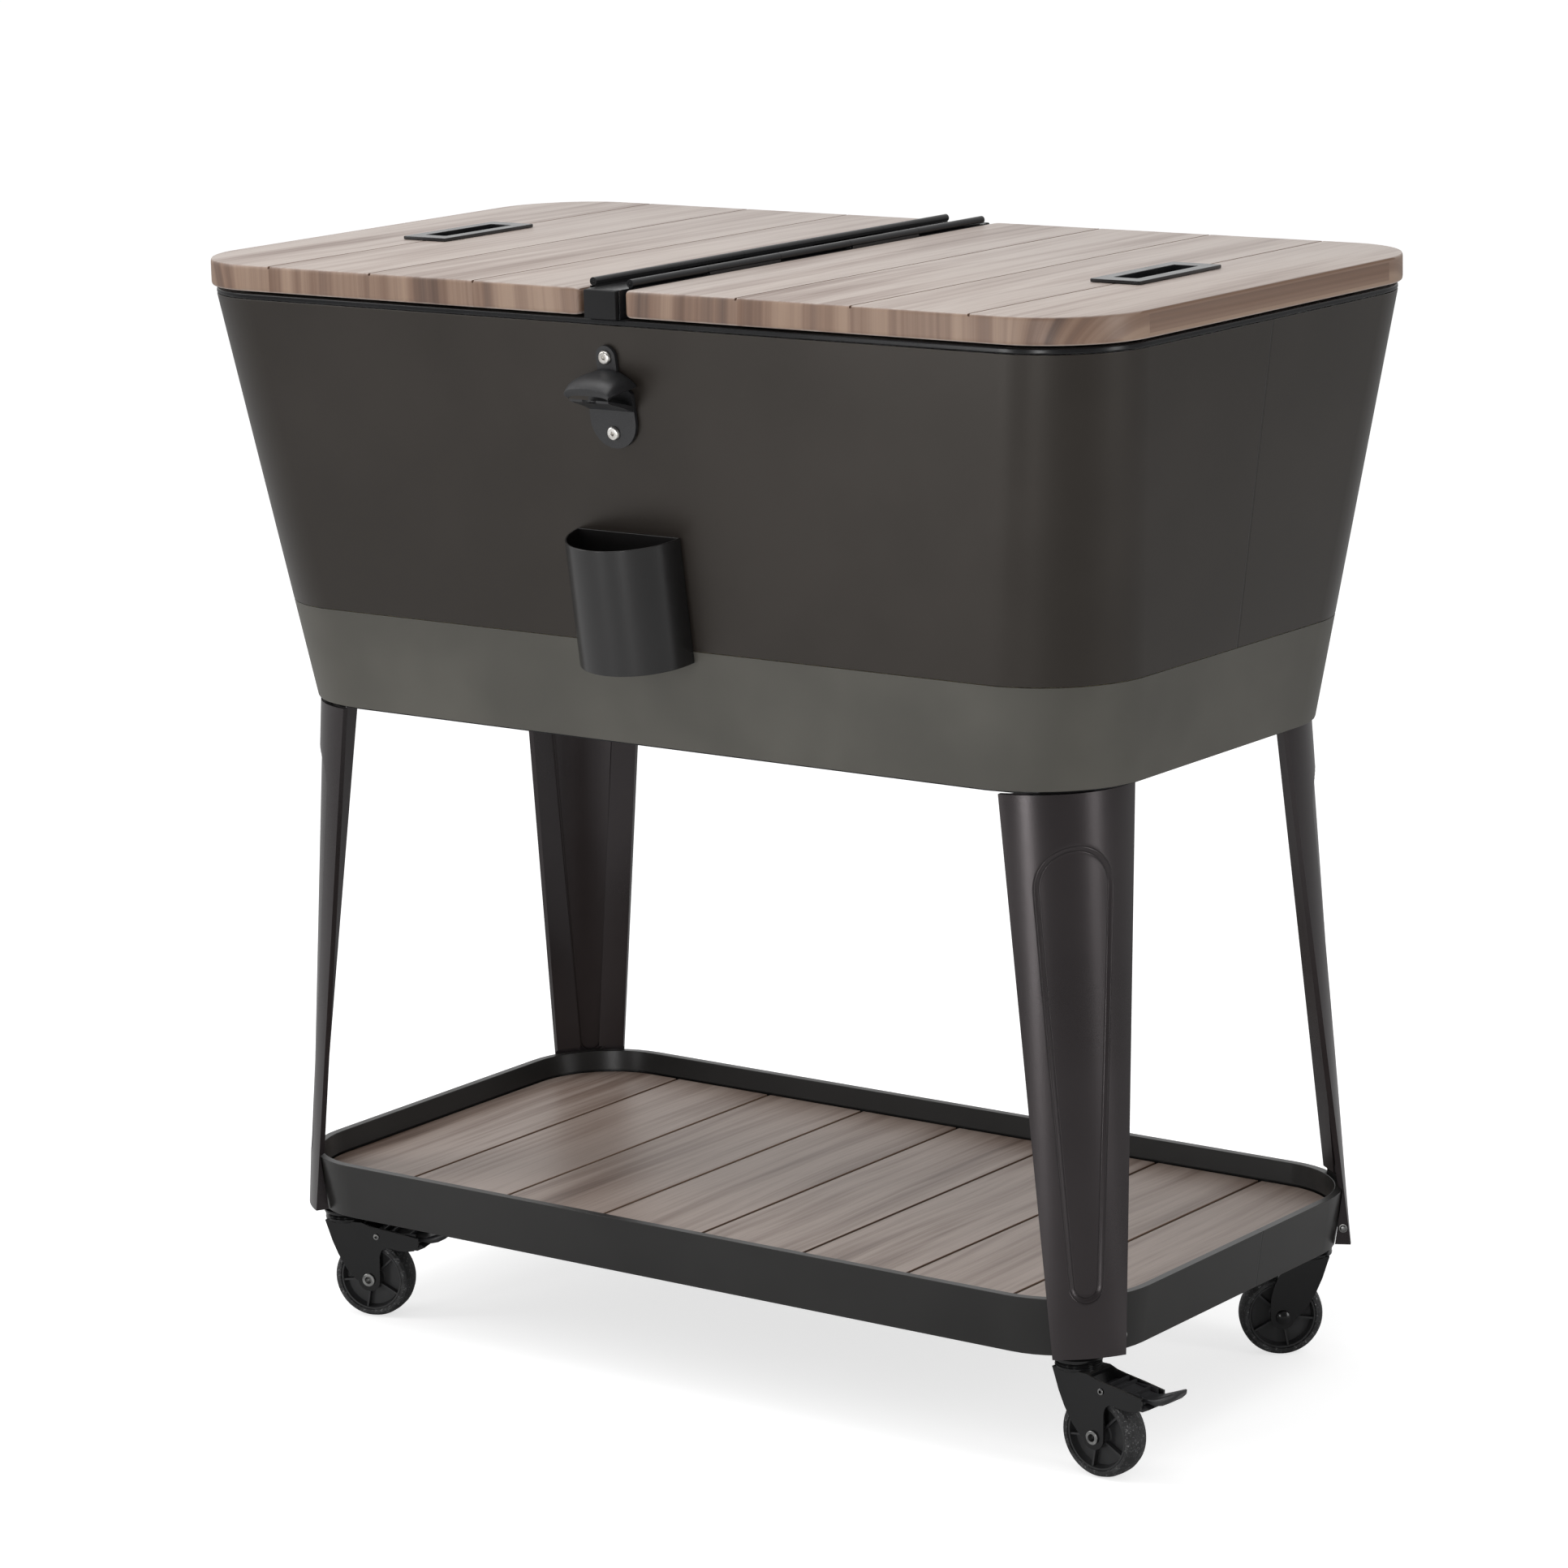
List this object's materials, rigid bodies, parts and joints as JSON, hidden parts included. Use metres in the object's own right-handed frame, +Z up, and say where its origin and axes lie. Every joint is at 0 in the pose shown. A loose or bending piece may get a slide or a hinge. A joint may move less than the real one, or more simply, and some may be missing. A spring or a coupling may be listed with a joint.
{
  "type": "rolling patio cooler",
  "caption": "Insulated steel patio cooler on legs and casters, with twin hinged wood-look lids, lower shelf tray, bottle opener and cap catcher.",
  "frame": {"origin": "on the floor, under the middle of the tub", "axes": "+X to the right of the front, +Y to the back, +Z up; the opener and cap catcher are on the -Y side"},
  "size_m": [0.9152, 0.5255, 0.9047],
  "materials": {
    "wood_film": "satin wood-look film, greige walnut",
    "shell_paint": "semi-gloss dark bronze powder coat",
    "band_paint": "semi-gloss taupe grey powder coat",
    "leg_paint": "satin near-black brown powder coat",
    "black_paint": "satin black",
    "stainless": "bright stainless steel",
    "foam": "rigid insulating foam",
    "liner_plastic": "light grey moulded plastic",
    "seal_rubber": "soft black seal",
    "wheel_rubber": "hard black rubber tread",
    "black_plastic": "black moulded plastic"
  },
  "bodies": {
    "cooler": {"bar_cap_back": "black_paint", "bar_cap_front": "black_paint", "base_plate": "black_paint", "bottle_opener": "black_paint", "cap_catcher": "black_paint", "caster_mount_back_left": "black_paint", "caster_mount_back_right": "black_paint", "caster_mount_front_left": "black_paint", "caster_mount_front_right": "black_paint", "catcher_screw_left": "stainless", "catcher_screw_right": "stainless", "center_bar": "black_paint", "drain_spout": "black_plastic", "hinge_leaf_bar_left": "black_paint", "hinge_leaf_bar_right": "black_paint", "hinge_pin_left": "stainless", "hinge_pin_right": "stainless", "inner_liner": "liner_plastic", "insulation": "foam", "leg_back_left": "leg_paint", "leg_back_right": "leg_paint", "leg_front_left": "leg_paint", "leg_front_right": "leg_paint", "lower_band": "band_paint", "opener_screw_lower": "stainless", "opener_screw_upper": "stainless", "outer_shell": "shell_paint", "top_collar": "black_paint", "tray_board": "wood_film", "tray_pan": "shell_paint"},
    "lid_left": {"lid_panel_left": "wood_film", "lid_plug_left": "liner_plastic", "lid_gasket_left": "seal_rubber", "handle_cup_left": "black_plastic", "hinge_leaf_lid_left": "black_paint"},
    "lid_right": {"lid_panel_right": "wood_film", "lid_plug_right": "liner_plastic", "lid_gasket_right": "seal_rubber", "handle_cup_right": "black_plastic", "hinge_leaf_lid_right": "black_paint"},
    "swivel_front_left": {"caster_fork_front_left": "black_paint", "caster_axle_front_left": "stainless", "brake_pin_front_left": "stainless"},
    "wheel_front_left": {"caster_wheel_front_left": "wheel_rubber"},
    "pedal_front_left": {"brake_pedal_front_left": "black_plastic"},
    "swivel_front_right": {"caster_fork_front_right": "black_paint", "caster_axle_front_right": "stainless", "brake_pin_front_right": "stainless"},
    "wheel_front_right": {"caster_wheel_front_right": "wheel_rubber"},
    "pedal_front_right": {"brake_pedal_front_right": "black_plastic"},
    "swivel_back_left": {"caster_fork_back_left": "black_paint", "caster_axle_back_left": "stainless"},
    "wheel_back_left": {"caster_wheel_back_left": "wheel_rubber"},
    "swivel_back_right": {"caster_fork_back_right": "black_paint", "caster_axle_back_right": "stainless"},
    "wheel_back_right": {"caster_wheel_back_right": "wheel_rubber"},
    "drain_cap": {"drain_cap": "black_plastic"}
  },
  "joints": [
    {"name": "lid_left_hinge", "type": "hinge", "parent": "cooler", "child": "lid_left", "pos_m": [-0.018, 0, 0.9015], "axis": [0, 1, 0], "range_deg": [0, 90]},
    {"name": "lid_right_hinge", "type": "hinge", "parent": "cooler", "child": "lid_right", "pos_m": [0.018, 0, 0.9015], "axis": [0, -1, 0], "range_deg": [0, 90]},
    {"name": "swivel_front_left", "type": "hinge", "parent": "cooler", "child": "swivel_front_left", "pos_m": [-0.3697, -0.1696, 0.0883], "axis": [0, 0, 1], "continuous": true},
    {"name": "roll_front_left", "type": "hinge", "parent": "swivel_front_left", "child": "wheel_front_left", "pos_m": [-0.34675, -0.16258, 0.034], "axis": [-0.2924, 0.9563, 0], "continuous": true},
    {"name": "brake_front_left", "type": "hinge", "parent": "swivel_front_left", "child": "pedal_front_left", "pos_m": [-0.33881, -0.16016, 0.07215], "axis": [-0.2924, 0.9563, 0], "range_deg": [0, 18]},
    {"name": "swivel_front_right", "type": "hinge", "parent": "cooler", "child": "swivel_front_right", "pos_m": [0.3697, -0.1696, 0.0883], "axis": [0, 0, 1], "continuous": true},
    {"name": "roll_front_right", "type": "hinge", "parent": "swivel_front_right", "child": "wheel_front_right", "pos_m": [0.39364, -0.17127, 0.034], "axis": [0.0698, 0.9976, 0], "continuous": true},
    {"name": "brake_front_right", "type": "hinge", "parent": "swivel_front_right", "child": "pedal_front_right", "pos_m": [0.40192, -0.17185, 0.07215], "axis": [0.0698, 0.9976, 0], "range_deg": [0, 18]},
    {"name": "swivel_back_left", "type": "hinge", "parent": "cooler", "child": "swivel_back_left", "pos_m": [-0.3697, 0.1696, 0.0883], "axis": [0, 0, 1], "continuous": true},
    {"name": "roll_back_left", "type": "hinge", "parent": "swivel_back_left", "child": "wheel_back_left", "pos_m": [-0.39225, 0.16139, 0.034], "axis": [0.342, -0.9397, 0], "continuous": true},
    {"name": "swivel_back_right", "type": "hinge", "parent": "cooler", "child": "swivel_back_right", "pos_m": [0.3697, 0.1696, 0.0883], "axis": [0, 0, 1], "continuous": true},
    {"name": "roll_back_right", "type": "hinge", "parent": "swivel_back_right", "child": "wheel_back_right", "pos_m": [0.35131, 0.15417, 0.034], "axis": [0.6428, -0.766, 0], "continuous": true},
    {"name": "drain_cap_turn", "type": "hinge", "parent": "cooler", "child": "drain_cap", "pos_m": [0, 0.22, 0.588], "axis": [0, 1, 0], "range_deg": [0, 270]}
  ]
}
